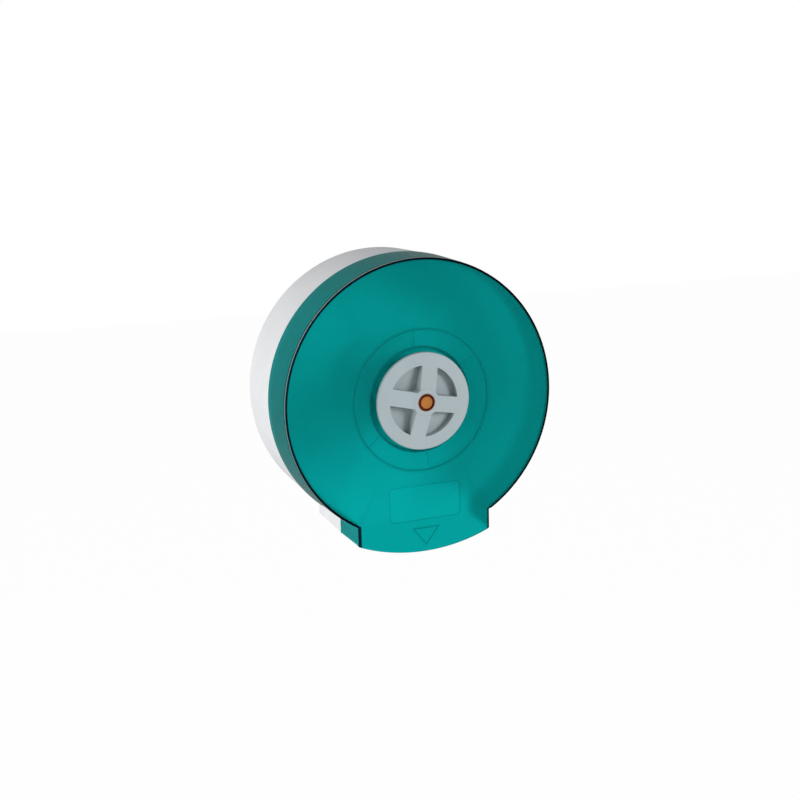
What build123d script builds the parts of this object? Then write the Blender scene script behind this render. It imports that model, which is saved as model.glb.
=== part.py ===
from build123d import *
import math
import os

# Wall-hung dispenser for one large toilet roll: a white pan on the wall, a clear cover locked by a
# knob in its middle, and a finned hub on a post between them. All sizes are millimetres.
# Each piece is drawn lying on its back, x to the right, y up the wall and z out of the wall, with
# z = 0 on the wall and the roll's axis through x = y = 0. It is turned upright when it is written.

# Outline: a round drum over a skirt with upright cheeks, open below as the paper outlet
depth = 117.0
seam_depth = 69.0
front_radius = 130.0
outlet_half_width = 65.8
cheek_drop = 130.0
apron_drop = 143.2
cover_draft = 2.0
base_draft = 0.2
seam_step = 0.5
seam_gap = 0.3
rim_round = 1.6

# Walls of the two shells
cover_wall = 2.2
cover_front = 2.5
base_wall = 2.5
lip_thickness = 1.4
lip_height = 4.0
lip_root = 7.0
lip_gap = 0.3
lip_cheek_setback = 4.0

# Dished centre of the cover, with a flat-floored recess for the knob
dish_radius = 65.5
dish_step = 0.8
dish_depth = 4.6
recess_radius = 49.0
recess_wall = 2.2
recess_depth = 8.0
ring_rib_width = 1.4
ring_rib_depth = 2.4
gusset_count = 6
gusset_first_angle = -84.0
gusset_thickness = 1.1
collar_length = 2.0
collar_wall = 2.8

# Bare label recess and moulded triangle on the cover's front
label_width = 69.0
label_height = 32.0
label_corner = 4.0
label_drop = 95.8
label_recess = 0.7
triangle_half_width = 14.0
triangle_height = 18.0
triangle_drop = 119.5
triangle_line = 1.3
triangle_rise = 0.5

# Tear teeth, cut up into the lower edges of the cover's cheeks
tooth_pitch = 3.0
tooth_depth = 1.7
tooth_end_margin = 3.0

# Back plate of the base: wall holes, stiffening ribs and the spindle's seat
wall_hole_spacing = 130.0
wall_hole_radius = 3.0
wall_boss_radius = 8.5
wall_boss_height = 4.0
rib_thickness = 2.0
rib_height = 3.5
radial_rib_count = 8
rib_ring_radius = 92.0
rib_rim_clearance = 9.0
seat_height = 5.5
seat_wall = 3.0
seat_web_count = 8
seat_hub_radius = 12.0

# Spindle
spindle_radius = 19.0
spindle_wall = 3.8
flange_radius = 39.0
flange_thickness = 3.0
flange_fillet = 1.5
spindle_lip_length = 9.5
spindle_chamfer = 0.8
nose_gap = 0.5
nose_land = 2.5

# Countersunk screws that hold the spindle's flange
screw_count = 4
screw_circle_radius = 28.0
screw_radius = 1.9
screw_head_radius = 3.8
screw_head_height = 2.0
screw_length = 8.5
screw_slot_width = 1.0
screw_slot_depth = 0.9
screw_boss_wall = 3.4
screw_clearance = 0.05

# Roll hub and what keeps it on the spindle
running_clearance = 0.1
end_float = 0.15
washer_thickness = 1.0
washer_radius = 26.0
hub_wall = 2.5
hub_flange_radius = 46.0
hub_flange_thickness = 2.0
hub_flange_bead = 1.0
core_seat_radius = 28.5
core_seat_length = 12.0
core_seat_wall = 2.2
fin_count = 6
fin_thickness = 2.4
fin_taper_length = 12.0
fin_front_radius = 24.0
clip_thickness = 1.75
clip_groove_depth = 1.0
clip_width = 3.6
clip_gap_angle = 24.0
clip_float = 0.05

# Knob
knob_radius = 45.0
knob_rise = 2.5
knob_floor_gap = 0.5
knob_edge_round = 1.2
knob_rim_thickness = 3.4
knob_body_radius = 36.5
knob_hub_rise = 8.5
knob_hub_radius = 12.5
pocket_radius = 33.0
pocket_floor = 2.2
arm_width = 15.0
arm_angle = -12.0
pocket_corner = 2.5
knob_edge_break = 0.7
shank_radius = 14.0
drive_square = 13.0
drive_clearance = 0.1
drive_depth = 6.0
cap_seat_depth = 4.5

# Lock plug, its disc spring and the screw that joins it to the knob
spring_height = 1.8
spring_thickness = 0.6
spring_inner_gap = 0.4
plug_flange_radius = 20.0
plug_flange_thickness = 2.5
plug_radius = 10.6
plug_side_gap = 0.3
plug_tail = 2.2
lug_width = 8.0
lug_thickness = 4.0
lug_reach = 3.6
lug_side_gap = 0.4
lug_end_gap = 0.5
lug_lock_gap = 0.3
stop_gap = 0.7
stop_inner_gap = 0.6
stop_height = 8.0
knob_screw_radius = 2.45
knob_screw_length = 25.0
knob_screw_head_radius = 4.6
knob_screw_head_height = 3.2
knob_screw_recess_radius = 5.5
knob_screw_drive_size = 2.6
knob_screw_drive_depth = 1.8
knob_washer_radius = 5.2
knob_washer_thickness = 1.0
knob_web = 4.0
fit_clearance = 0.05

# Copper-coloured button in the middle of the knob
cap_radius = 8.0
cap_proud = 1.4
cap_wall = 1.2
cap_rim_width = 1.5
cap_rim_round = 0.4

# Places along the axis, from the front plate back to the spindle's seat
recess_front = depth - recess_depth
recess_back = recess_front - cover_front
collar_back = recess_back - collar_length
plug_flange_front = collar_back - spring_height
plug_flange_back = plug_flange_front - plug_flange_thickness
spindle_front = plug_flange_back - nose_gap
spindle_lip_back = spindle_front - spindle_lip_length
lug_front = spindle_lip_back - lug_lock_gap
lug_back = lug_front - lug_thickness
plug_back = lug_back - plug_tail
clip_front = spindle_front - nose_land
clip_back = clip_front - clip_thickness
front_washer_front = clip_back - clip_float
front_washer_back = front_washer_front - washer_thickness
hub_front = front_washer_back - end_float
seat_front = base_wall + seat_height
flange_front = seat_front + flange_thickness
thrust_washer_front = flange_front + washer_thickness
hub_back = thrust_washer_front + end_float
knob_back = recess_front + knob_floor_gap
knob_front = depth + knob_rise
knob_hub_front = depth + knob_hub_rise
cap_seat = knob_hub_front - cap_seat_depth
drive_front = plug_flange_front + drive_depth
screw_seat = drive_front + knob_web
cavity_radius = spindle_radius - spindle_wall
bore_radius = plug_radius + plug_side_gap
lug_radius = plug_radius + lug_reach
keyway_radius = lug_radius + lug_end_gap
shank_hole_radius = shank_radius + running_clearance
washer_bore_radius = spindle_radius + flange_fillet + running_clearance
cut_margin = 5.0


def ring(outer, inner, back, front):
    """Flat ring or tube about the roll's axis, from one depth to another."""
    height = front - back
    tube = Pos(0, 0, back) * Cylinder(outer, height, align=(Align.CENTER, Align.CENTER, Align.MIN))
    return tube - disc(inner, back - cut_margin, front + cut_margin)


def disc(radius, back, front):
    """Solid round bar about the roll's axis."""
    bar = Cylinder(radius, front - back, align=(Align.CENTER, Align.CENTER, Align.MIN))
    return Pos(0, 0, back) * bar


def turned(points):
    """Solid of revolution about the roll's axis from a closed list of radius and depth."""
    corners = [(radius, 0, height) for radius, height in points]
    section = Face(Wire([Line(a, b) for a, b in zip(corners, corners[1:] + corners[:1])]))
    return revolve(section, Axis.Z)


def skirt_face(spread, cheek_end, apron_end):
    """Level section of the skirt, from the drum's middle down to its curved lower edge."""
    half_width = outlet_half_width + spread
    return Face(Wire([Line((-half_width, 0), (half_width, 0)),
                      Line((half_width, 0), (half_width, -cheek_end)),
                      ThreePointArc((half_width, -cheek_end), (0, -apron_end),
                                    (-half_width, -cheek_end)),
                      Line((-half_width, -cheek_end), (-half_width, 0))]))


def drum(back, back_spread, front, front_spread, below=0.0, round_over=0.0):
    """Tapered drum with its skirt, grown outwards by a spread at each end and longer below."""
    cone = Pos(0, 0, back) * Cone(front_radius + back_spread, front_radius + front_spread,
                                  front - back, align=(Align.CENTER, Align.CENTER, Align.MIN))
    back_face = skirt_face(back_spread, cheek_drop + below, apron_drop + below)
    front_face = skirt_face(front_spread, cheek_drop + below, apron_drop + below)
    skirt = loft([Pos(0, 0, back) * back_face, Pos(0, 0, front) * front_face], ruled=True)
    if round_over:
        cone = fillet(cone.edges().group_by(Axis.Z)[-1], round_over)
        skirt = fillet(skirt.edges().group_by(Axis.Z)[-1].sort_by(Axis.Y)[:-1], round_over)
    return cone + skirt


def cover_spread(height):
    """How far the cover's side wall has flared outwards at a depth."""
    return cover_draft * (depth - height) / (depth - seam_depth)


def base_spread(height):
    """How far the base's side wall stands outside the front outline at a depth."""
    return cover_draft - seam_step - base_draft * (seam_depth - height) / seam_depth


def lip_spread(height):
    """How far the base's lip stands outside the front outline, a gap inside the cover's wall."""
    return cover_spread(height) - cover_wall - lip_gap


def around(shape, count, first_angle=0.0):
    """Copies of a shape, evenly spaced about the roll's axis."""
    return [Rot(0, 0, first_angle + 360.0 / count * index) * shape for index in range(count)]


def make_base_shell():
    """White pan with a stepped rim, four wall holes, stiffening ribs and the spindle's seat."""
    rim = seam_depth - seam_gap
    shell = drum(0, base_spread(0), rim, base_spread(rim))
    shell -= drum(base_wall, base_spread(base_wall) - base_wall,
                  rim + cut_margin, base_spread(rim) - base_wall, below=cut_margin)
    shell += make_rim_lip(rim)
    shell += make_back_ribs()
    shell += make_spindle_seat()
    holes = [Pos(x, y, 0) * disc(wall_hole_radius, -cut_margin, seam_depth)
             for x in (-wall_hole_spacing / 2, wall_hole_spacing / 2)
             for y in (-wall_hole_spacing / 2, wall_hole_spacing / 2)]
    pilot = Pos(screw_circle_radius, 0, 0) * disc(screw_radius + screw_clearance,
                                                  flange_front - screw_length - screw_clearance,
                                                  flange_front)
    return shell - holes - around(pilot, screw_count, 45.0)


def make_rim_lip(rim):
    """Thin lip inside the base's rim that the cover slips over."""
    front = rim + lip_height
    back = rim - lip_root
    outer = drum(back, lip_spread(back), front, lip_spread(front))
    inner_back = back - cut_margin
    inner_front = front + cut_margin
    inner = drum(inner_back, lip_spread(inner_back) - lip_thickness,
                 inner_front, lip_spread(inner_front) - lip_thickness, below=cut_margin)
    below_cheeks = Pos(0, -cheek_drop + lip_cheek_setback, rim) * Box(
        4 * outlet_half_width, apron_drop, 2 * rim, align=(Align.CENTER, Align.MAX, Align.CENTER))
    return outer - inner - below_cheeks


def make_back_ribs():
    """Low ribs on the back plate: one ring, spokes to the rim, and a boss round each wall hole."""
    top = base_wall + rib_height
    ribs = ring(rib_ring_radius + rib_thickness / 2, rib_ring_radius - rib_thickness / 2,
                base_wall / 2, top)
    spoke_length = front_radius - rib_rim_clearance - flange_radius + seat_wall
    spoke = Pos(flange_radius - seat_wall, 0, base_wall / 2) * Box(
        spoke_length, rib_thickness, top - base_wall / 2, align=(Align.MIN, Align.CENTER, Align.MIN))
    ribs += around(spoke, radial_rib_count, 22.5)
    bosses = [Pos(x, y, 0) * disc(wall_boss_radius, base_wall / 2, base_wall + wall_boss_height)
              for x in (-wall_hole_spacing / 2, wall_hole_spacing / 2)
              for y in (-wall_hole_spacing / 2, wall_hole_spacing / 2)]
    return ribs + bosses


def make_spindle_seat():
    """Raised ring, webs and screw bosses that the spindle's flange sits on."""
    root = base_wall / 2
    seat = ring(flange_radius, flange_radius - seat_wall, root, seat_front)
    seat += ring(seat_hub_radius, seat_hub_radius - seat_wall, root, seat_front)
    web = Pos(seat_hub_radius - seat_wall / 2, 0, root) * Box(
        flange_radius - seat_hub_radius, rib_thickness, seat_front - root,
        align=(Align.MIN, Align.CENTER, Align.MIN))
    seat += around(web, seat_web_count)
    boss = Pos(screw_circle_radius, 0, 0) * disc(screw_radius + screw_boss_wall, root, seat_front)
    return seat + around(boss, screw_count, 45.0)


def make_spindle():
    """Hollow post: screwed flange, clip groove, and a lipped nose with keyways and stops."""
    fillet_rim = spindle_radius + flange_fillet
    post = turned([
        (cavity_radius, seat_front),
        (flange_radius, seat_front),
        (flange_radius, flange_front),
        (fillet_rim, flange_front),
        (spindle_radius, flange_front + flange_fillet),
        (spindle_radius, spindle_front - spindle_chamfer),
        (spindle_radius - spindle_chamfer, spindle_front),
        (bore_radius + spindle_chamfer, spindle_front),
        (bore_radius, spindle_front - spindle_chamfer),
        (bore_radius, spindle_lip_back),
        (cavity_radius, spindle_lip_back)])
    keyway = Pos(0, 0, spindle_lip_back - cut_margin) * Box(
        lug_width + 2 * lug_side_gap, 2 * keyway_radius, spindle_lip_length + 2 * cut_margin,
        align=(Align.CENTER, Align.CENTER, Align.MIN))
    post -= keyway & disc(keyway_radius, spindle_lip_back - cut_margin, spindle_front + cut_margin)
    post += make_stops()
    groove_radius = spindle_radius - clip_groove_depth
    post -= ring(spindle_radius + cut_margin, groove_radius, clip_back - clip_float,
                 clip_front + clip_float)
    mouth = disc(screw_head_radius + screw_clearance, flange_front, flange_front + cut_margin)
    hole = Pos(screw_circle_radius, 0, 0) * (screw_form(screw_clearance) + mouth)
    return post - around(hole, screw_count, 45.0)


def make_stops():
    """Two blocks behind the spindle's lip that end the lugs' quarter turn."""
    stop_inner_radius = plug_radius + stop_inner_gap
    stop_width = 2 * (stop_inner_radius - math.sqrt(2) * (lug_width / 2 + stop_gap))
    block = Pos(stop_inner_radius, 0, spindle_lip_back - stop_height) * Box(
        spindle_radius - stop_inner_radius, stop_width, stop_height + spindle_lip_length / 2,
        align=(Align.MIN, Align.CENTER, Align.MIN))
    inside = disc(cavity_radius + spindle_wall / 2, spindle_lip_back - stop_height, spindle_front)
    return [copy & inside for copy in around(block, 2, -45.0)]


def screw_form(grow):
    """Countersunk screw's outer form with its head flush with the flange, grown all round."""
    tip = flange_front - screw_length - grow
    neck = flange_front - screw_head_height
    return turned([
        (0, tip),
        (screw_radius + grow, tip),
        (screw_radius + grow, neck),
        (screw_head_radius + grow, flange_front),
        (0, flange_front)])


def make_spindle_screws():
    """Four countersunk screws with slotted heads."""
    slot = Pos(0, 0, flange_front) * Box(2 * screw_head_radius + cut_margin, screw_slot_width,
                                         2 * screw_slot_depth)
    screw = Pos(screw_circle_radius, 0, 0) * (screw_form(0) - slot)
    return Compound([copy.solid() for copy in around(screw, screw_count, 45.0)])


def make_roll_hub():
    """Hub for the roll's core: sleeve, back flange, full round seat and tapered fins."""
    bore = spindle_radius + running_clearance
    sleeve_radius = bore + hub_wall
    flange_top = hub_back + hub_flange_thickness
    seat_top = flange_top + core_seat_length
    hub = ring(sleeve_radius, 0, hub_back, hub_front)
    hub += disc(hub_flange_radius, hub_back, flange_top)
    hub += ring(hub_flange_radius, hub_flange_radius - hub_flange_bead, hub_back,
                flange_top + hub_flange_bead)
    hub += ring(core_seat_radius, core_seat_radius - core_seat_wall, hub_back, seat_top)
    outline = Polyline((spindle_radius, 0, hub_back), (core_seat_radius, 0, hub_back),
                       (core_seat_radius, 0, hub_front - fin_taper_length),
                       (fin_front_radius, 0, hub_front), (spindle_radius, 0, hub_front), close=True)
    fin = extrude(Face(Wire(outline.edges())), fin_thickness / 2, dir=(0, 1, 0), both=True)
    hub += around(fin, fin_count)
    relief = disc(washer_bore_radius, hub_back - cut_margin, hub_back + flange_fillet)
    return hub - disc(bore, hub_back - cut_margin, hub_front + cut_margin) - relief


def make_thrust_washer():
    """Flat washer between the spindle's flange and the hub."""
    return ring(washer_radius, washer_bore_radius, flange_front, thrust_washer_front)


def make_hub_front_washer():
    """Flat washer between the hub and its clip."""
    return ring(fin_front_radius, spindle_radius + running_clearance, front_washer_back,
                front_washer_front)


def make_hub_clip():
    """Open retaining ring in the spindle's groove, with two eared ends."""
    inner = spindle_radius - clip_groove_depth + fit_clearance
    clip = ring(inner + clip_width, inner, clip_back, clip_front)
    ear_radius = clip_width * 0.75
    ear = Pos(inner + ear_radius, 0, 0) * disc(ear_radius, clip_back, clip_front)
    eye = Pos(inner + ear_radius, 0, 0) * disc(ear_radius / 3, clip_back - cut_margin,
                                               clip_front + cut_margin)
    gap = Rot(0, 0, -90) * Pos(0, 0, clip_back - cut_margin) * extrude(
        Face(Wire(Polyline((0, 0),
                           (2 * inner, 2 * inner * math.tan(math.radians(clip_gap_angle / 2))),
                           (2 * inner, -2 * inner * math.tan(math.radians(clip_gap_angle / 2))),
                           close=True).edges())), clip_thickness + 2 * cut_margin)
    turns = [Rot(0, 0, -90 + side * clip_gap_angle) for side in (-1, 1)]
    clip = clip - gap + [turn * ear for turn in turns]
    clip -= disc(inner, clip_back - cut_margin, clip_front + cut_margin)
    return clip - [turn * eye for turn in turns]


def make_cover_shell():
    """Clear cover: flared drum and skirt, dished centre, knob recess, label recess and teeth."""
    inner_front = depth - cover_front
    shell = drum(seam_depth, cover_spread(seam_depth), depth, cover_spread(depth),
                 round_over=rim_round)
    shell -= drum(seam_depth - cut_margin, cover_spread(seam_depth - cut_margin) - cover_wall,
                  inner_front, cover_spread(inner_front) - cover_wall, below=cut_margin)
    shell -= disc(dish_radius, seam_depth, depth + cut_margin)
    shell += make_cover_centre()
    shell -= make_label_recess()
    shell += make_triangle()
    return shell - make_tooth_notches()


def make_cover_centre():
    """Dish, knob recess, ring rib and gussets in the middle of the cover."""
    dish_back = depth - dish_depth
    centre = turned([
        (dish_radius, depth - dish_step),
        (recess_radius, dish_back),
        (recess_radius, recess_front),
        (shank_hole_radius, recess_front),
        (shank_hole_radius, collar_back),
        (shank_hole_radius + collar_wall, collar_back),
        (shank_hole_radius + collar_wall, recess_back),
        (recess_radius + recess_wall, recess_back),
        (recess_radius + recess_wall, dish_back - cover_front),
        (dish_radius - ring_rib_width / 2, depth - dish_step - cover_front),
        (dish_radius - ring_rib_width / 2, depth - cover_front - ring_rib_depth),
        (dish_radius + ring_rib_width / 2, depth - cover_front - ring_rib_depth),
        (dish_radius + ring_rib_width / 2, depth - cover_front / 2),
        (dish_radius, depth - cover_front / 2)])
    outline = Polyline((recess_radius + recess_wall / 2, 0, recess_back),
                       (recess_radius + recess_wall / 2, 0, dish_back - cover_front / 2),
                       (dish_radius, 0, depth - dish_step - cover_front / 2),
                       (dish_radius, 0, depth - cover_front - ring_rib_depth), close=True)
    gusset = extrude(Face(Wire(outline.edges())), gusset_thickness / 2, dir=(0, 1, 0), both=True)
    return centre + around(gusset, gusset_count, gusset_first_angle)


def make_label_recess():
    """Shallow bare place for a label, below the knob."""
    place = Pos(0, -label_drop, depth - label_recess)
    plate = RectangleRounded(label_width, label_height, label_corner)
    return place * extrude(plate, label_recess + cut_margin)


def make_triangle():
    """Thin raised outline of a triangle that points down to the outlet."""
    corners = [(-triangle_half_width, -triangle_drop), (triangle_half_width, -triangle_drop),
               (0, -triangle_drop - triangle_height)]
    outer = Face(Wire(Polyline(*corners, close=True).edges()))
    inner = offset(outer, -triangle_line)
    return Pos(0, 0, depth - cover_front / 2) * extrude(outer - inner,
                                                        cover_front / 2 + triangle_rise)


def make_tooth_notches():
    """Rows of V notches that leave a saw edge along the bottom of each cheek."""
    first = seam_depth + tooth_end_margin
    last = depth - cover_front - tooth_end_margin
    count = int((last - first) / tooth_pitch)
    notches = []
    for index in range(count):
        back = first + index * tooth_pitch
        tip = (0, -cheek_drop + tooth_depth, back + tooth_pitch / 2)
        foot = -apron_drop - cut_margin
        outline = Polyline((0, foot, back), (0, -cheek_drop, back), tip,
                           (0, -cheek_drop, back + tooth_pitch), (0, foot, back + tooth_pitch),
                           close=True)
        reach = outlet_half_width + cover_draft + cut_margin
        notches.append(extrude(Face(Wire(outline.edges())), reach, dir=(1, 0, 0), both=True))
    return notches


def make_knob():
    """Turn knob: overhanging rim, four arms that rise to a hub, finger pockets, shank, socket."""
    slope_inner = knob_hub_front - knob_edge_break
    rim_back = knob_front - knob_rim_thickness
    knob = turned([
        (0, knob_back),
        (knob_body_radius, knob_back),
        (knob_body_radius, rim_back),
        (knob_radius, rim_back),
        (knob_radius, knob_front - knob_edge_round),
        (knob_radius - knob_edge_round, knob_front),
        (pocket_radius, knob_front),
        (knob_hub_radius, slope_inner),
        (knob_hub_radius - knob_edge_break, knob_hub_front),
        (0, knob_hub_front)])
    knob -= around(make_pocket(), 4, arm_angle)
    knob += disc(shank_radius, plug_flange_front, knob_back + pocket_floor)
    knob -= Pos(0, 0, plug_flange_front - cut_margin) * Box(
        drive_square, drive_square, drive_depth + cut_margin,
        align=(Align.CENTER, Align.CENTER, Align.MIN))
    knob -= disc(knob_screw_radius + running_clearance, plug_flange_front, knob_hub_front)
    knob -= disc(knob_screw_recess_radius, screw_seat, knob_hub_front)
    return knob - disc(cap_radius + fit_clearance, cap_seat, knob_hub_front + cut_margin)


def make_pocket():
    """One finger pocket: a quarter of a ring between two arms, open to the front."""
    half_arm = arm_width / 2
    end = math.sqrt(pocket_radius**2 - half_arm**2)
    middle = pocket_radius / math.sqrt(2)
    sketch = Face(Wire([Line((half_arm, half_arm), (end, half_arm)),
                        ThreePointArc((end, half_arm), (middle, middle), (half_arm, end)),
                        Line((half_arm, end), (half_arm, half_arm))]))
    sketch = fillet(sketch.vertices(), pocket_corner)
    sketch -= Circle(knob_hub_radius)
    height = knob_hub_front - knob_back
    return Pos(0, 0, knob_back + pocket_floor) * extrude(sketch, height)


def make_knob_cap():
    """Plain domed button with a raised rim, hollow behind."""
    skirt_top = knob_hub_front + cap_rim_round
    crown = knob_hub_front + cap_proud
    dome = turned([
        (0, cap_seat + fit_clearance),
        (cap_radius, cap_seat + fit_clearance),
        (cap_radius, skirt_top),
        (cap_radius - cap_rim_round, skirt_top + cap_rim_round),
        (cap_radius - cap_rim_width, skirt_top + cap_rim_round),
        (cap_radius - cap_rim_width - cap_rim_round, skirt_top),
        (cap_radius / 2, crown - cap_rim_round),
        (0, crown)])
    return dome - disc(cap_radius - cap_wall, cap_seat, knob_hub_front - cap_wall)


def make_disc_spring():
    """Cone-shaped spring washer between the plug's flange and the cover's collar."""
    inner = shank_radius + spring_inner_gap
    outer = shank_hole_radius + collar_wall
    back = plug_flange_front
    front = collar_back - end_float
    return turned([
        (outer, back),
        (outer, back + spring_thickness),
        (inner, front),
        (inner, front - spring_thickness)])


def make_lock_plug():
    """Bayonet plug: square drive, flange behind the cover, round body and two lugs."""
    square = drive_square - 2 * drive_clearance
    plug = disc(plug_radius, plug_back, plug_flange_front)
    plug = chamfer(plug.edges().group_by(Axis.Z)[0], plug_tail / 2)
    plug += disc(plug_flange_radius, plug_flange_back, plug_flange_front)
    plug += Pos(0, 0, plug_flange_back) * Box(
        square, square, drive_front - drive_clearance - plug_flange_back,
        align=(Align.CENTER, Align.CENTER, Align.MIN))
    lugs = Pos(0, 0, lug_back) * Box(lug_width, 2 * lug_radius, lug_thickness,
                                     align=(Align.CENTER, Align.CENTER, Align.MIN))
    plug += lugs & disc(lug_radius, lug_back, lug_front)
    tip = screw_seat + knob_washer_thickness - knob_screw_length
    return plug - disc(knob_screw_radius + fit_clearance, tip - fit_clearance, drive_front)


def make_knob_screw():
    """Pan-head screw with a square socket, through the knob into the lock plug."""
    head_back = screw_seat + knob_washer_thickness
    head_front = head_back + knob_screw_head_height
    screw = disc(knob_screw_radius, head_back - knob_screw_length, head_back)
    head = disc(knob_screw_head_radius, head_back, head_front)
    head = fillet(head.edges().group_by(Axis.Z)[-1], knob_screw_head_height / 2)
    socket = Pos(0, 0, head_front) * Box(knob_screw_drive_size, knob_screw_drive_size,
                                         2 * knob_screw_drive_depth)
    return screw + head - socket


def make_knob_screw_washer():
    """Flat washer below the knob screw's head."""
    return ring(knob_washer_radius, knob_screw_radius + fit_clearance, screw_seat,
                screw_seat + knob_washer_thickness)


pieces = {
    "base_shell": make_base_shell,
    "spindle": make_spindle,
    "spindle_screws": make_spindle_screws,
    "thrust_washer": make_thrust_washer,
    "roll_hub": make_roll_hub,
    "hub_front_washer": make_hub_front_washer,
    "hub_clip": make_hub_clip,
    "cover_shell": make_cover_shell,
    "knob": make_knob,
    "knob_cap": make_knob_cap,
    "disc_spring": make_disc_spring,
    "lock_plug": make_lock_plug,
    "knob_screw": make_knob_screw,
    "knob_screw_washer": make_knob_screw_washer,
}

os.makedirs("parts", exist_ok=True)
for name, make_piece in pieces.items():
    export_step(Rot(90, 0, 0) * make_piece(), f"parts/{name}.step")
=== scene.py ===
import math

import bmesh
import bpy
from mathutils import Matrix, Vector


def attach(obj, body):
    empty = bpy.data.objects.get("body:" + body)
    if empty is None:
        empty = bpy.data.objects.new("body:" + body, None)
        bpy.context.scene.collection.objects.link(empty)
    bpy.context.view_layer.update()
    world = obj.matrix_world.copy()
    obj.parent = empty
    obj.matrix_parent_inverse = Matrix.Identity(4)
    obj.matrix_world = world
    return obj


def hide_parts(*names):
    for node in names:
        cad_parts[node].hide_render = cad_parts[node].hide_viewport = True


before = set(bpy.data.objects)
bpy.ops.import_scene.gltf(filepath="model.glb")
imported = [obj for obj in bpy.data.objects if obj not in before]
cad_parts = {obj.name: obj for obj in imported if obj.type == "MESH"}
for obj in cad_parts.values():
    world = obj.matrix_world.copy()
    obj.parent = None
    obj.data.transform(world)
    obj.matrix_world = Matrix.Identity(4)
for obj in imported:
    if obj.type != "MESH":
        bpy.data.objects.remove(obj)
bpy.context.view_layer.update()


# The place: the dispenser hangs in a white room far above a pale floor. The camera stands a little
# left of and above the drum, and two large soft lamps and the room light it evenly.
bpy.ops.object.select_all(action="DESELECT")
scene = bpy.context.scene
scene.view_settings.view_transform = "Standard"

camera_place = Vector((-0.39059, -1.06234, 0.22188))
camera_right = Vector((0.92936, -0.36819, -0.02682))
camera_up = Vector((0.10204, 0.18638, 0.97716))
camera_back = Vector((-0.35479, -0.91088, 0.21078))
camera_data = bpy.data.cameras.new("camera")
camera_data.lens = 51.88
camera_data.sensor_width = 36.0
camera_data.clip_start = 0.01
camera = bpy.data.objects.new("camera", camera_data)
scene.collection.objects.link(camera)
camera.matrix_world = Matrix.Translation(camera_place) @ Matrix(
    (camera_right, camera_up, camera_back)).transposed().to_4x4()
scene.camera = camera

room = bpy.data.worlds.new("white_room")
room.use_nodes = True
scene.world = room
nodes, links = room.node_tree.nodes, room.node_tree.links
nodes.clear()
seen = nodes.new("ShaderNodeLightPath")
seen_or_through = nodes.new("ShaderNodeMath")
seen_or_through.operation = "MAXIMUM"
links.new(seen.outputs["Is Camera Ray"], seen_or_through.inputs[0])
links.new(seen.outputs["Is Transmission Ray"], seen_or_through.inputs[1])
room_light = nodes.new("ShaderNodeBackground")
room_strength, mirrored_strength = 0.5, 0.2
mirrored = nodes.new("ShaderNodeMath")
mirrored.operation = "MULTIPLY_ADD"
mirrored.inputs[1].default_value = mirrored_strength - room_strength
mirrored.inputs[2].default_value = room_strength
links.new(seen.outputs["Is Glossy Ray"], mirrored.inputs[0])
links.new(mirrored.outputs[0], room_light.inputs["Strength"])
room_white = nodes.new("ShaderNodeBackground")
room_white.inputs["Strength"].default_value = 1.0
for background in (room_light, room_white):
    background.inputs["Color"].default_value = (1, 1, 1, 1)
room_mix = nodes.new("ShaderNodeMixShader")
links.new(seen_or_through.outputs[0], room_mix.inputs["Fac"])
links.new(room_light.outputs[0], room_mix.inputs[1])
links.new(room_white.outputs[0], room_mix.inputs[2])
links.new(room_mix.outputs[0], nodes.new("ShaderNodeOutputWorld").inputs["Surface"])

lamps = (("lamp_left", (-1.9, -0.35, 0.15), 1.2, 24.0),
         ("lamp_right", (1.1, -1.86, 0.5), 0.8, 28.0))
for name, place, width, power in lamps:
    lamp_data = bpy.data.lights.new(name, "AREA")
    lamp_data.size = width
    lamp_data.energy = power
    lamp = bpy.data.objects.new(name, lamp_data)
    scene.collection.objects.link(lamp)
    lamp.location = place
    lamp.rotation_euler = (-Vector(place)).to_track_quat("-Z", "Y").to_euler()
    lamp.visible_glossy = False
    lamp.visible_transmission = False

floor_drop, floor_width, floor_glow = 0.9, 14.0, 0.97
bpy.ops.mesh.primitive_plane_add(size=floor_width, location=(0, 0, -floor_drop))
floor = bpy.context.object
floor.name = "floor"
floor.visible_glossy = False
floor_paint = bpy.data.materials.new("pale_floor")
floor_paint.use_nodes = True
nodes, links = floor_paint.node_tree.nodes, floor_paint.node_tree.links
nodes.clear()
diffuse = nodes.new("ShaderNodeBsdfDiffuse")
diffuse.inputs["Color"].default_value = (0.92, 0.92, 0.92, 1)
glow = nodes.new("ShaderNodeEmission")
glow.inputs["Strength"].default_value = 1.0
seen = nodes.new("ShaderNodeLightPath")
share = nodes.new("ShaderNodeMath")
share.operation = "MULTIPLY"
share.inputs[1].default_value = floor_glow
links.new(seen.outputs["Is Camera Ray"], share.inputs[0])
mix = nodes.new("ShaderNodeMixShader")
links.new(share.outputs[0], mix.inputs["Fac"])
links.new(diffuse.outputs[0], mix.inputs[1])
links.new(glow.outputs[0], mix.inputs[2])
links.new(mix.outputs[0], nodes.new("ShaderNodeOutputMaterial").inputs["Surface"])
floor.data.materials.append(floor_paint)


# Base shell: a white pan moulded in ABS that hangs on the wall by four screws. It carries the
# back half of the open skirt, low stiffening ribs and the seat of the spindle.
MM = 0.001
TOUCH = 0.002 * MM
ring_steps = 238
shoulder_angle = math.radians(20 * 360 / ring_steps)
cheek_drop, apron_drop = 130.0 * MM, 143.2 * MM
base_back, base_front, base_wall = 0.0, 68.7 * MM, 2.5 * MM
back_radius, back_half_width = 131.3 * MM, 67.1 * MM
front_radius, front_half_width = 131.5 * MM, 67.3 * MM
back_edge_round = 1.2 * MM


def only(piece):
    """Leaves nothing selected but one piece."""
    if bpy.context.object and bpy.context.object.mode != "OBJECT":
        bpy.ops.object.mode_set(mode="OBJECT")
    bpy.ops.object.select_all(action="DESELECT")
    piece.select_set(True)
    bpy.context.view_layer.objects.active = piece


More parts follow.
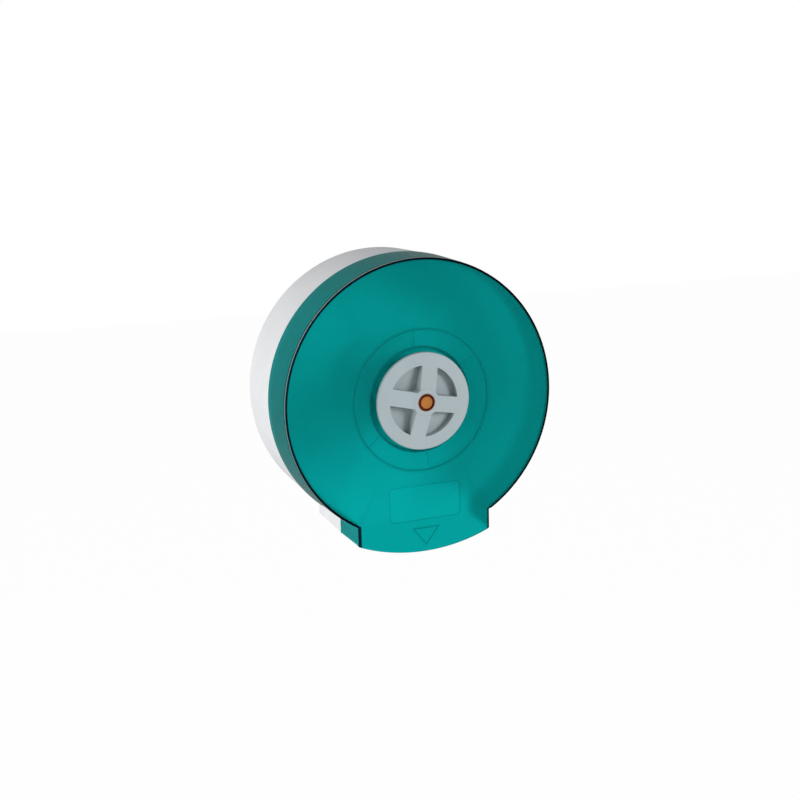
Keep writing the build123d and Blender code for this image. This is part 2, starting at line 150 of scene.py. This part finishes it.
def reach(point):
    """Distance of a point from the roll's axis."""
    return math.hypot(point.x, point.z)


def pick(kind, wanted):
    """In edit mode, selects just the points or faces that a test on place and normal wants."""
    bpy.ops.mesh.select_mode(type=kind)
    bpy.ops.mesh.select_all(action="DESELECT")
    mesh = bmesh.from_edit_mesh(bpy.context.edit_object.data)
    for part in mesh.verts if kind == "VERT" else mesh.faces:
        place = part.co if kind == "VERT" else part.calc_center_median()
        part.select_set(bool(wanted(place, part.normal)))
    mesh.select_flush_mode()
    bmesh.update_edit_mesh(bpy.context.edit_object.data)


def start_ring(name, radius, depth, steps=ring_steps):
    """A bare circle about the roll's axis, ready to grow into a shell in edit mode."""
    bpy.ops.object.select_all(action="DESELECT")
    bpy.ops.mesh.primitive_circle_add(vertices=steps, radius=radius,
                                      location=(0, -depth, 0), rotation=(math.pi / 2, 0, 0))
    piece = bpy.context.object
    piece.name = piece.data.name = name
    bpy.ops.object.transform_apply(location=True, rotation=True, scale=True)
    bpy.ops.object.mode_set(mode="EDIT")
    bpy.ops.mesh.select_all(action="SELECT")
    return piece


def ring_to(radius, depth):
    """Grows the selected round edge to a new radius and depth."""
    mesh = bmesh.from_edit_mesh(bpy.context.edit_object.data)
    start = next(corner.co.copy() for corner in mesh.verts if corner.select)
    grow = radius / reach(start)
    bpy.ops.mesh.extrude_edges_move()
    bpy.ops.transform.resize(value=(grow, 1, grow), center_override=(0, start.y, 0))
    bpy.ops.transform.translate(value=(0, -depth - start.y, 0))


def grow_skirt(radius, half_width, depth):
    """Draws the bottom of a round plate down into the skirt's apron."""
    chord = radius * math.sin(shoulder_angle)
    shoulder = radius * math.cos(shoulder_angle)
    new_shoulder = math.sqrt(radius**2 - half_width**2)
    pick("VERT", lambda at, normal: abs(at.y + depth) < TOUCH and reach(at) > radius - TOUCH
         and at.z < TOUCH - shoulder)
    bpy.ops.transform.resize(value=(half_width / chord, 1, 1), center_override=(0, -depth, 0))
    sag = (apron_drop - cheek_drop) / (radius - shoulder)
    bpy.ops.mesh.extrude_edges_move()
    bpy.ops.transform.resize(value=(1, 1, sag), center_override=(0, -depth, -radius))
    bpy.ops.transform.translate(value=(0, 0, radius - apron_drop))
    pick("VERT", lambda at, normal: abs(at.z + shoulder) < TOUCH and abs(at.x) > half_width - TOUCH)
    bpy.ops.transform.translate(value=(0, 0, shoulder - new_shoulder))


def grow_wall(radius, half_width, depth, new_radius, new_half_width, new_depth):
    """Draws the plate's rim and the cheeks' edges out into a side wall with draft."""
    shoulder = math.sqrt(radius**2 - half_width**2)
    new_shoulder = math.sqrt(new_radius**2 - new_half_width**2)

    def on_level(at, level):
        return abs(at.y + level) < TOUCH

    pick("VERT", lambda at, normal: on_level(at, depth) and reach(at) > radius - TOUCH
         and (at.z > -shoulder - TOUCH or abs(at.x) > half_width - TOUCH))
    bpy.ops.mesh.extrude_edges_move()
    bpy.ops.transform.translate(value=(0, depth - new_depth, 0))
    pick("VERT", lambda at, normal: on_level(at, new_depth) and at.z > TOUCH - shoulder)
    grow = new_radius / radius
    bpy.ops.transform.resize(value=(grow, 1, grow), center_override=(0, -new_depth, 0))
    pick("VERT", lambda at, normal: on_level(at, new_depth) and abs(at.z + shoulder) < TOUCH
         and abs(at.x) < half_width + TOUCH)
    bpy.ops.transform.translate(value=(0, 0, shoulder - new_shoulder))
    for side in (-1, 1):
        pick("VERT", lambda at, normal: on_level(at, new_depth) and side * at.x > 0
             and at.z < TOUCH - new_shoulder and abs(at.x) < half_width + TOUCH)
        bpy.ops.transform.translate(value=(side * (new_half_width - half_width), 0, 0))


def finish_with(piece, kind, **settings):
    """Adds one modifier to a piece and applies it."""
    only(piece)
    modifier = piece.modifiers.new(kind.lower(), kind)
    for name, value in settings.items():
        setattr(modifier, name, value)
    bpy.ops.object.modifier_apply(modifier=modifier.name)


def cut_or_join(piece, tool, operation):
    """Takes a tool piece away from a piece, or joins it on, and removes the tool."""
    finish_with(piece, "BOOLEAN", object=tool, operation=operation, solver="EXACT")
    bpy.data.objects.remove(tool)


def merge_slivers(piece):
    """Merges corners that a boolean left closer together than any real edge, and closes open edges."""
    only(piece)
    bpy.ops.object.mode_set(mode="EDIT")
    bpy.ops.mesh.select_all(action="SELECT")
    bpy.ops.mesh.remove_doubles(threshold=2 * TOUCH)
    bpy.ops.mesh.select_all(action="SELECT")
    bpy.ops.mesh.dissolve_degenerate(threshold=2 * TOUCH)
    bpy.ops.mesh.select_mode(type="EDGE")
    bpy.ops.mesh.select_all(action="DESELECT")
    bpy.ops.mesh.select_non_manifold(use_wire=False, use_multi_face=False,
                                     use_non_contiguous=False, use_verts=False)
    bpy.ops.mesh.edge_face_add()
    bpy.ops.object.mode_set(mode="OBJECT")


def bar_tool(name, size, place, turn=0.0):
    """A plain block for a boolean, turned about the roll's axis."""
    bpy.ops.object.select_all(action="DESELECT")
    bpy.ops.mesh.primitive_cube_add(size=1, location=place, scale=size)
    tool = bpy.context.object
    tool.name = name
    bpy.ops.object.transform_apply(location=True, rotation=True, scale=True)
    tool.rotation_euler = (0, turn, 0)
    bpy.ops.object.transform_apply(location=False, rotation=True, scale=False)
    return tool


def rod_tool(name, radius, back, front, x=0.0, z=0.0, sides=48):
    """A plain round bar for a boolean, along the roll's axis."""
    bpy.ops.object.select_all(action="DESELECT")
    bpy.ops.mesh.primitive_cylinder_add(vertices=sides, radius=radius, depth=front - back,
                                        location=(x, -(front + back) / 2, z),
                                        rotation=(math.pi / 2, 0, 0))
    tool = bpy.context.object
    tool.name = name
    bpy.ops.object.transform_apply(location=True, rotation=True, scale=True)
    return tool


def joined(tools):
    """Makes one object of several tools."""
    only(tools[0])
    for tool in tools[1:]:
        tool.select_set(True)
    bpy.ops.object.join()
    return tools[0]


def place_on(piece, body, node, material, soft_angle=32):
    """Smooths a finished piece, gives it its material and its place in the assembly."""
    only(piece)
    bpy.ops.object.shade_smooth_by_angle(angle=math.radians(soft_angle))
    finish_with(piece, "WEIGHTED_NORMAL", keep_sharp=True)
    piece.data.materials.clear()
    piece.data.materials.append(material)
    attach(piece, body)
    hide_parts(node)


def new_finish(name, color, roughness, grain, grain_depth, patches=0.0, metal=0.0):
    """A finish with patchy gloss and a fine moulded or rolled grain, both in object space."""
    finish = bpy.data.materials.new(name)
    finish.use_nodes = True
    nodes, links = finish.node_tree.nodes, finish.node_tree.links
    shader = nodes["Principled BSDF"]
    shader.inputs["Metallic"].default_value = metal
    place = nodes.new("ShaderNodeTexCoord")
    cloud = nodes.new("ShaderNodeTexNoise")
    cloud.inputs["Scale"].default_value = 45.0
    cloud.inputs["Detail"].default_value = 6.0
    links.new(place.outputs["Object"], cloud.inputs["Vector"])
    gloss = nodes.new("ShaderNodeMapRange")
    gloss.inputs["To Min"].default_value = roughness - 0.06
    gloss.inputs["To Max"].default_value = roughness + 0.08
    links.new(cloud.outputs["Fac"], gloss.inputs["Value"])
    links.new(gloss.outputs["Result"], shader.inputs["Roughness"])
    tint = nodes.new("ShaderNodeValToRGB")
    tint.color_ramp.elements[0].position = 0.35
    tint.color_ramp.elements[1].position = 0.65
    tint.color_ramp.elements[0].color = [*(channel * (1 - patches) for channel in color), 1]
    tint.color_ramp.elements[1].color = [*color, 1]
    links.new(cloud.outputs["Fac"], tint.inputs["Fac"])
    links.new(tint.outputs["Color"], shader.inputs["Base Color"])
    speck = nodes.new("ShaderNodeTexNoise")
    speck.inputs["Scale"].default_value = grain
    speck.inputs["Detail"].default_value = 3.0
    links.new(place.outputs["Object"], speck.inputs["Vector"])
    bump = nodes.new("ShaderNodeBump")
    bump.inputs["Strength"].default_value = 0.35
    bump.inputs["Distance"].default_value = grain_depth
    links.new(speck.outputs["Fac"], bump.inputs["Height"])
    links.new(bump.outputs["Normal"], shader.inputs["Normal"])
    return finish


white_abs = new_finish("white_abs", (0.80, 0.81, 0.83), 0.34, 900.0, 0.00004, patches=0.03)

ring_ribs = ((9 * MM, 12 * MM, 5.5 * MM), (36 * MM, 39 * MM, 5.5 * MM),
             (91 * MM, 93 * MM, 3.5 * MM))
base = start_ring("base_pan", ring_ribs[0][0], base_back)
bpy.ops.mesh.edge_face_add()
ring_to(ring_ribs[0][1], base_back)
for inner, outer, rise in ring_ribs[1:]:
    ring_to(inner, base_back)
    ring_to(outer, base_back)
ring_to(back_radius, base_back)
grow_skirt(back_radius, back_half_width, base_back)
grow_wall(back_radius, back_half_width, base_back, front_radius, front_half_width, base_front)
bpy.ops.mesh.select_all(action="SELECT")
bpy.ops.mesh.normals_make_consistent(inside=False)
bpy.ops.object.mode_set(mode="OBJECT")
finish_with(base, "SOLIDIFY", thickness=base_wall, offset=-1, use_even_offset=True)
bpy.ops.object.mode_set(mode="EDIT")
for inner, outer, rise in ring_ribs:
    pick("FACE", lambda at, normal: normal.y < -0.9 and abs(at.y + base_wall) < TOUCH
         and inner < reach(at) < outer)
    bpy.ops.mesh.extrude_region_move()
    bpy.ops.transform.translate(value=(0, -rise, 0))
bpy.ops.object.mode_set(mode="OBJECT")

spoke_size, spoke_place = (86 * MM, 4.65 * MM, 2 * MM), (80 * MM, -3.575 * MM, 0)
web_size, web_place = (28 * MM, 6.75 * MM, 2 * MM), (24 * MM, -4.6 * MM, 0)
for step in range(8):
    spoke = bar_tool("spoke", spoke_size, spoke_place, math.radians(22.5 + 45 * step))
    cut_or_join(base, spoke, "UNION")
    web = bar_tool("web", web_size, web_place, math.radians(45 * step))
    cut_or_join(base, web, "UNION")

boss_root, hole_reach, hole_radius = 1.2 * MM, 65 * MM, 3 * MM
wall_boss_radius, wall_boss_front = 8.5 * MM, 6.5 * MM
screw_boss_radius, screw_boss_front, screw_reach = 5.3 * MM, 7.9 * MM, 28 * MM
sides = (-hole_reach, hole_reach)
for z in sides:
    for x in sides:
        boss = rod_tool("wall_boss", wall_boss_radius, boss_root, wall_boss_front, x, z)
        cut_or_join(base, boss, "UNION")
for step in range(4):
    angle = math.radians(45 + 90 * step)
    boss = rod_tool("screw_boss", screw_boss_radius, boss_root, screw_boss_front,
                    screw_reach * math.cos(angle), screw_reach * math.sin(angle))
    cut_or_join(base, boss, "UNION")
holes = [rod_tool("wall_hole", hole_radius, -5 * MM, 20 * MM, x, z) for x in sides for z in sides]
cut_or_join(base, joined(holes), "DIFFERENCE")

# A thin lip stands inside the rim, and the cover slips over it. It stops short of the cheeks' ends.
lip_back, lip_front, lip_wall, lip_setback = 61.7 * MM, 72.7 * MM, 1.4 * MM, 4 * MM
lip_radius, lip_half_width = 129.25 * MM, 65.05 * MM
lip_root_radius, lip_root_half_width = 129.7 * MM, 65.5 * MM
lip = start_ring("rim_lip", lip_radius, lip_front)
grow_skirt(lip_radius, lip_half_width, lip_front)
grow_wall(lip_radius, lip_half_width, lip_front, lip_root_radius, lip_root_half_width, lip_back)
pick("FACE", lambda at, normal: abs(normal.y) > 0.9)
bpy.ops.mesh.delete(type="FACE")
bpy.ops.mesh.select_all(action="SELECT")
bpy.ops.mesh.bisect(plane_co=(0, 0, lip_setback - cheek_drop), plane_no=(0, 0, 1),
                    clear_inner=True)
bpy.ops.mesh.select_all(action="SELECT")
bpy.ops.mesh.normals_make_consistent(inside=False)
bpy.ops.object.mode_set(mode="OBJECT")
finish_with(lip, "SOLIDIFY", thickness=lip_wall, offset=-1, use_even_offset=True)
cut_or_join(base, lip, "UNION")
merge_slivers(base)

only(base)
bpy.ops.object.mode_set(mode="EDIT")
pick("VERT", lambda at, normal: abs(at.y) < TOUCH and reach(at) > back_radius - 0.8 * MM)
bpy.ops.mesh.bevel(offset=back_edge_round, segments=4, affect="EDGES")
bpy.ops.object.mode_set(mode="OBJECT")
place_on(base, "base", "base_shell", white_abs)


# Cover shell: clear teal polystyrene, moulded in one piece, glossy outside and finely frosted
# inside. It slips over the base's lip, and the knob in its dished centre locks it to the spindle.
cover_depth, seam_depth, cover_wall = 117 * MM, 69 * MM, 2.3 * MM
cover_radius, cover_half_width = 130 * MM, 65.8 * MM
seam_radius, seam_half_width = 132 * MM, 67.8 * MM
rim_round, inner_corner, seam_edge = 2.3 * MM, 2.4 * MM, 0.8 * MM
collar_bore, collar_radius, collar_rise = 14.1 * MM, 16.9 * MM, 2 * MM
recess_radius, recess_depth = 47.2 * MM, 109 * MM
step_radius, step_depth = 65.5 * MM, 116.2 * MM
label_size, label_corner = (69 * MM, 0.4 * MM, 32 * MM), 4 * MM
label_drop, label_middle = 95.8 * MM, 116.85 * MM
label_flare = (71 / 69, 1, 34 / 32)
triangle_half_width, triangle_height, triangle_line = 14 * MM, 18 * MM, 1.3 * MM
triangle_place, triangle_thickness = (0, -117.5 * MM, -125.5 * MM), 1.5 * MM

teal = bpy.data.materials.new("clear_teal_plastic")
teal.use_nodes = True
nodes, links = teal.node_tree.nodes, teal.node_tree.links
glass = nodes["Principled BSDF"]
glass.inputs["Transmission Weight"].default_value = 0.9
glass.inputs["IOR"].default_value = 1.18
place = nodes.new("ShaderNodeTexCoord")
cloud = nodes.new("ShaderNodeTexNoise")
cloud.inputs["Scale"].default_value = 30.0
cloud.inputs["Detail"].default_value = 4.0
links.new(place.outputs["Object"], cloud.inputs["Vector"])
gloss = nodes.new("ShaderNodeMapRange")
gloss.inputs["To Min"].default_value = 0.05
gloss.inputs["To Max"].default_value = 0.09
links.new(cloud.outputs["Fac"], gloss.inputs["Value"])
frosting = nodes.new("ShaderNodeAttribute")
frosting.attribute_name = "frosting"
frosted = nodes.new("ShaderNodeMath")
frosted.operation = "MULTIPLY_ADD"
frosted.inputs[1].default_value = 0.5
links.new(frosting.outputs["Fac"], frosted.inputs[0])
links.new(gloss.outputs["Result"], frosted.inputs[2])
links.new(frosted.outputs[0], glass.inputs["Roughness"])
# Painted shade and painted highlight: a face attribute turns the base colour dark navy on the rim's
# round, the recess's wall and the fine lines, and light cyan at the seam's edge.
painted_shade_and_highlight = nodes.new("ShaderNodeAttribute")
painted_shade_and_highlight.attribute_name = "painted_shade_and_highlight"
shade_and_highlight_ramp = nodes.new("ShaderNodeValToRGB")
shade_and_highlight_ramp.color_ramp.elements[0].color = (0.3, 1.0, 1.0, 1)
shade_and_highlight_ramp.color_ramp.elements[1].color = (0.0, 0.006, 0.022, 1)
plain_tint = shade_and_highlight_ramp.color_ramp.elements.new(0.2)
plain_tint.color = (0.0, 0.92, 0.89, 1)
links.new(painted_shade_and_highlight.outputs["Fac"], shade_and_highlight_ramp.inputs["Fac"])
links.new(shade_and_highlight_ramp.outputs["Color"], glass.inputs["Base Color"])
ripple = nodes.new("ShaderNodeBump")
ripple.inputs["Strength"].default_value = 0.06
ripple.inputs["Distance"].default_value = 0.0004
links.new(cloud.outputs["Fac"], ripple.inputs["Height"])
links.new(ripple.outputs["Normal"], glass.inputs["Normal"])
clear = nodes.new("ShaderNodeBsdfTransparent")
seen = nodes.new("ShaderNodeLightPath")
mix = nodes.new("ShaderNodeMixShader")
links.new(seen.outputs["Is Shadow Ray"], mix.inputs["Fac"])
links.new(glass.outputs[0], mix.inputs[1])
links.new(clear.outputs[0], mix.inputs[2])
tint = nodes.new("ShaderNodeVolumeAbsorption")
tint.inputs["Color"].default_value = (0.0, 0.835, 0.835, 1)
tint.inputs["Density"].default_value = 1500.0
target = nodes["Material Output"]
links.new(mix.outputs[0], target.inputs["Surface"])
links.new(tint.outputs[0], target.inputs["Volume"])

cover = start_ring("cover_drum", collar_bore, recess_depth)
for radius, depth in ((collar_radius, recess_depth), (recess_radius, recess_depth),
                      (47.8 * MM, 112.4 * MM), (step_radius, step_depth),
                      (step_radius, cover_depth), (cover_radius, cover_depth)):
    ring_to(radius, depth)
grow_skirt(cover_radius, cover_half_width, cover_depth)
grow_wall(cover_radius, cover_half_width, cover_depth, seam_radius, seam_half_width, seam_depth)
bpy.ops.mesh.select_all(action="SELECT")
bpy.ops.mesh.normals_make_consistent(inside=False)
bpy.ops.object.mode_set(mode="OBJECT")
finish_with(cover, "SOLIDIFY", thickness=cover_wall, offset=-1, use_even_offset=True)
bpy.ops.object.mode_set(mode="EDIT")
pick("FACE", lambda at, normal: normal.y > 0.9 and reach(at) < collar_radius)
bpy.ops.mesh.extrude_region_move()
bpy.ops.transform.translate(value=(0, collar_rise, 0))
bpy.ops.object.mode_set(mode="OBJECT")

rib_inner, rib_outer, rib_back, rib_root = 64.8 * MM, 66.2 * MM, 111.9 * MM, 115.2 * MM
ring_rib = start_ring("ring_rib", rib_inner, rib_back)
for radius, depth in ((rib_outer, rib_back), (rib_outer, rib_root), (rib_inner, rib_root),
                      (rib_inner, rib_back)):
    ring_to(radius, depth)
bpy.ops.mesh.select_all(action="SELECT")
bpy.ops.mesh.remove_doubles(threshold=TOUCH)
bpy.ops.mesh.normals_make_consistent(inside=False)
bpy.ops.object.mode_set(mode="OBJECT")
cut_or_join(cover, ring_rib, "UNION")

gusset_size, gusset_place = (16.4 * MM, 2.4 * MM, 0.8 * MM), (57.4 * MM, -110.1 * MM, 0)
gusset_slant = 4.2 * MM
for step in range(6):
    gusset = bar_tool("gusset", gusset_size, gusset_place)
    bpy.ops.object.mode_set(mode="EDIT")
    pick("VERT", lambda at, normal: at.x > 60 * MM)
    bpy.ops.transform.translate(value=(0, -gusset_slant, 0))
    bpy.ops.object.mode_set(mode="OBJECT")
    gusset.rotation_euler = (0, math.radians(84 - 60 * step), 0)
    bpy.ops.object.transform_apply(location=False, rotation=True, scale=False)
    cut_or_join(cover, gusset, "UNION")

only(cover)
bpy.ops.object.mode_set(mode="EDIT")
shoulder = math.sqrt(cover_radius**2 - cover_half_width**2)
pick("VERT", lambda at, normal: abs(at.y + cover_depth) < TOUCH and reach(at) > cover_radius - TOUCH
     and (at.z > -shoulder - TOUCH or abs(at.x) > cover_half_width - TOUCH))
bpy.ops.mesh.bevel(offset=rim_round, segments=6, affect="EDGES")
inner_depth, inner_radius = cover_depth - cover_wall, cover_radius - cover_wall
pick("VERT", lambda at, normal: abs(at.y + inner_depth) < 0.1 * MM
     and reach(at) > inner_radius - 0.4 * MM and at.z > -shoulder - MM)
bpy.ops.mesh.bevel(offset=inner_corner, segments=3, affect="EDGES")
pick("VERT", lambda at, normal: abs(at.y + seam_depth) < TOUCH
     and (reach(at) > 131.5 * MM or abs(at.x) > 67.5 * MM and at.z < -shoulder))
bpy.ops.mesh.bevel(offset=seam_edge, segments=2, affect="EDGES")
bpy.ops.object.mode_set(mode="OBJECT")

label = bar_tool("label_tool", label_size, (0, -label_middle, -label_drop))
bpy.ops.object.mode_set(mode="EDIT")
bpy.ops.mesh.select_mode(type="EDGE")
bpy.ops.mesh.select_all(action="DESELECT")
mesh = bmesh.from_edit_mesh(label.data)
for edge in mesh.edges:
    edge.select_set(abs(edge.verts[0].co.y - edge.verts[1].co.y) > TOUCH)
bpy.ops.mesh.bevel(offset=label_corner, segments=6, affect="EDGES")
pick("VERT", lambda at, normal: at.y < -cover_depth)
bpy.ops.transform.resize(value=label_flare, center_override=(0, 0, -label_drop))
bpy.ops.object.mode_set(mode="OBJECT")
cut_or_join(cover, label, "DIFFERENCE")

bpy.ops.object.select_all(action="DESELECT")
bpy.ops.mesh.primitive_circle_add(vertices=3, radius=1, fill_type="NGON",
                                  location=(0, 0, 0), rotation=(math.pi / 2, 0, 0))
arrow = bpy.context.object
bpy.ops.object.transform_apply(location=True, rotation=True, scale=True)
bpy.ops.object.mode_set(mode="EDIT")
bpy.ops.mesh.select_all(action="SELECT")
bpy.ops.transform.resize(value=(triangle_half_width / math.sin(math.radians(60)), 1,
                                -triangle_height / 1.5), center_override=(0, 0, 0))
bpy.ops.transform.translate(value=triangle_place)
bpy.ops.mesh.inset(thickness=triangle_line)
bpy.ops.mesh.delete(type="FACE")
bpy.ops.mesh.select_all(action="SELECT")
bpy.ops.mesh.extrude_region_move()
bpy.ops.transform.translate(value=(0, triangle_thickness, 0))
bpy.ops.mesh.select_all(action="SELECT")
bpy.ops.mesh.normals_make_consistent(inside=False)
bpy.ops.object.mode_set(mode="OBJECT")
cut_or_join(cover, arrow, "UNION")

bpy.ops.object.select_all(action="DESELECT")
bpy.ops.mesh.primitive_cylinder_add(vertices=4, radius=1, depth=1, location=(0, 0, 0),
                                    rotation=(0, math.pi / 2, 0))
teeth = bpy.context.object
tooth_rise, tooth_half_width, tooth_pitch, tooth_count = 1.7 * MM, 1.48 * MM, 3 * MM, 13
teeth_length, first_tooth_depth = 150 * MM, 73.5 * MM
teeth.scale = (tooth_rise, tooth_half_width, teeth_length)
teeth.location = (0, -first_tooth_depth, -cheek_drop)
bpy.ops.object.transform_apply(location=True, rotation=True, scale=True)
finish_with(teeth, "ARRAY", count=tooth_count, use_relative_offset=False,
            use_constant_offset=True, constant_offset_displace=(0, -tooth_pitch, 0))
cut_or_join(cover, teeth, "DIFFERENCE")
merge_slivers(cover)

# The inside is finely frosted. The rim's round, the recess's wall and the fine steps and lines get
# painted shade, a darker tint in their colour for light trapped in a clear moulding's edge, and the
# eased edge at the seam gets a painted highlight, a lighter tint.
seam_painted_highlight, plain_shade, line_shade, recess_shade, round_shade = 0.0, 0.2, 0.5, 0.8, 1.0
frosting = cover.data.attributes.new("frosting", "FLOAT", "FACE")
painted_shade_and_highlight = cover.data.attributes.new("painted_shade_and_highlight", "FLOAT", "FACE")
for face, frost, shade in zip(cover.data.polygons, frosting.data, painted_shade_and_highlight.data):
    at, normal = face.center, face.normal
    outward = normal.x * at.x + normal.z * at.z
    inside_wall = abs(normal.y) < 0.5 and at.y > -115.5 * MM and (
        outward < 0 if reach(at) > 100 * MM else reach(at) > 48 * MM)
    frost.value = 1.0 if normal.y > 0.5 or inside_wall else 0.0
    on_round = at.y < -114.6 * MM and -0.998 < normal.y < -0.05 and outward > 0 and (
        reach(at) > 127 * MM or at.z < -shoulder)
    on_sight_line = at.y < -116.6 * MM and at.z < -78 * MM and not on_round and (
        at.y < -117.2 * MM or -0.999 < normal.y < -0.1)
    on_step = abs(reach(at) - step_radius) < 0.1 * MM and at.y < -116.1 * MM
    in_recess = 46.5 * MM < reach(at) < 48.5 * MM and outward < 0 and at.y < -recess_depth
    on_seam = at.y > -70 * MM and 0.1 < normal.y < 0.98 and outward > 0
    shade.value = (round_shade if on_round else recess_shade if in_recess
                   else line_shade if on_sight_line or on_step
                   else seam_painted_highlight if on_seam else plain_shade)
place_on(cover, "cover", "cover_shell", teal, soft_angle=25)


# Knob: grey moulded ABS that sits in the cover's recess and turns the bayonet plug behind it. Four
# arms rise from its rim to a hub, and the finger pockets between them are cut nearly to its back.
grey_abs = new_finish("grey_abs", (0.35, 0.41, 0.43), 0.38, 1100.0, 0.00004, patches=0.04)
knob_path = ((8.05, 121), (8.05, 125.5), (11.8, 125.5), (12.5, 124.8), (33, 119.5), (43.8, 119.5),
             (44.4, 119.34), (44.84, 118.9), (45, 118.3), (45, 116.1), (36.5, 116.1),
             (36.5, 109.5), (14, 109.5), (14, 102.7), (2.55, 102.7), (2.55, 112.7), (5.5, 112.7),
             (5.5, 121))
knob = start_ring("turn_knob", 5.5 * MM, 121 * MM)
for radius, depth in knob_path:
    ring_to(radius * MM, depth * MM)
bpy.ops.mesh.select_all(action="SELECT")
bpy.ops.mesh.remove_doubles(threshold=TOUCH)
bpy.ops.mesh.normals_make_consistent(inside=False)
bpy.ops.object.mode_set(mode="OBJECT")

pocket_radius, pocket_floor, pocket_corner = 33 * MM, 111.7 * MM, 2.5 * MM
arm_half, arm_turn, hub_radius = 7.5 * MM, math.radians(12), 12.5 * MM
socket_size, socket_place = (13 * MM, 11 * MM, 13 * MM), (0, -103.2 * MM, 0)
pocket = rod_tool("pocket_tool", pocket_radius, pocket_floor, 130 * MM, sides=160)
bpy.ops.object.mode_set(mode="EDIT")
for normal in ((1, 0, 0), (0, 0, 1)):
    bpy.ops.mesh.select_all(action="SELECT")
    bpy.ops.mesh.bisect(plane_co=(arm_half, 0, arm_half), plane_no=normal, use_fill=True,
                        clear_inner=True)
bpy.ops.mesh.select_mode(type="EDGE")
bpy.ops.mesh.select_all(action="DESELECT")
mesh = bmesh.from_edit_mesh(pocket.data)
for edge in mesh.edges:
    first, last = (corner.co for corner in edge.verts)
    on_arm = min(first.x, first.z) < arm_half + TOUCH
    edge.select_set(on_arm and abs(first.y - last.y) > MM)
bpy.ops.mesh.bevel(offset=pocket_corner, segments=6, affect="EDGES")
bpy.ops.object.mode_set(mode="OBJECT")
cut_or_join(pocket, rod_tool("hub_tool", hub_radius, 100 * MM, 140 * MM, sides=96), "DIFFERENCE")
for step in range(4):
    only(pocket)
    bpy.ops.object.duplicate()
    copy = bpy.context.object
    copy.rotation_euler = (0, arm_turn + step * math.pi / 2, 0)
    bpy.ops.object.transform_apply(location=False, rotation=True, scale=False)
    cut_or_join(knob, copy, "DIFFERENCE")
bpy.data.objects.remove(pocket)
cut_or_join(knob, bar_tool("socket_tool", socket_size, socket_place), "DIFFERENCE")
merge_slivers(knob)
place_on(knob, "knob", "knob", grey_abs)


# Knob cap: a small button with a bright copper-coloured plating, pressed into the knob's hub over
# the head of its screw. Its face is a plain low dome inside a raised rim, whose copper is painted
# darker as painted shade.
copper = new_finish("copper_plating", (0.86, 0.33, 0.08), 0.24, 700.0, 0.00002, patches=0.25,
                    metal=0.6)
cap_path = ((2.2, 126.75), (4.0, 126.45), (5.6, 125.8), (5.9, 125.1), (6.5, 125.1), (6.8, 126.2),
            (7.6, 126.2), (8.0, 125.8), (8.0, 121.05), (6.8, 121.05), (6.8, 124.3), (1.0, 124.3))
cap = start_ring("copper_button", 0.6 * MM, 126.85 * MM, steps=96)
bpy.ops.mesh.edge_face_add()
for radius, depth in cap_path:
    ring_to(radius * MM, depth * MM)
bpy.ops.mesh.edge_face_add()
bpy.ops.mesh.select_all(action="SELECT")
bpy.ops.mesh.normals_make_consistent(inside=False)
bpy.ops.object.mode_set(mode="OBJECT")
place_on(cap, "knob", "knob_cap", copper, soft_angle=50)
# Painted shade: the rim gets a darker copy of the same copper finish.
copper_rim_shade_finish = new_finish("copper_rim_painted_shade", (0.24, 0.035, 0.01), 0.30, 700.0, 0.00002,
                         patches=0.25, metal=0.6)
cap.data.materials.append(copper_rim_shade_finish)
bpy.ops.object.mode_set(mode="EDIT")
dome_radius = 5.6 * MM
pick("FACE", lambda at, normal: reach(at) > dome_radius)
cap.active_material_index = 1
bpy.ops.object.material_slot_assign()
bpy.ops.object.mode_set(mode="OBJECT")


# Works inside: spindle, its screws, hub, washers, clip, spring, lock plug and knob screw keep their
# moulded or turned forms and get a finish each.
white_post = new_finish("white_post_abs", (0.74, 0.75, 0.76), 0.42, 800.0, 0.00004, patches=0.03)
hub_grey = new_finish("hub_grey_abs", (0.60, 0.63, 0.65), 0.45, 800.0, 0.00004, patches=0.04)
acetal = new_finish("natural_acetal", (0.80, 0.80, 0.77), 0.36, 600.0, 0.00002, patches=0.03)
zinc = new_finish("zinc_plating", (0.62, 0.63, 0.66), 0.32, 900.0, 0.00002, patches=0.15, metal=1.0)
spring_steel = new_finish("blued_spring_steel", (0.30, 0.31, 0.33), 0.30, 900.0, 0.00002,
                          patches=0.2, metal=1.0)
for node, finish in (("spindle", white_post), ("spindle_screws", zinc), ("thrust_washer", acetal),
                     ("roll_hub", hub_grey), ("hub_front_washer", acetal),
                     ("hub_clip", spring_steel), ("disc_spring", spring_steel),
                     ("lock_plug", white_post), ("knob_screw", zinc), ("knob_screw_washer", zinc)):
    inner_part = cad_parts[node]
    inner_part.data.materials.clear()
    inner_part.data.materials.append(finish)
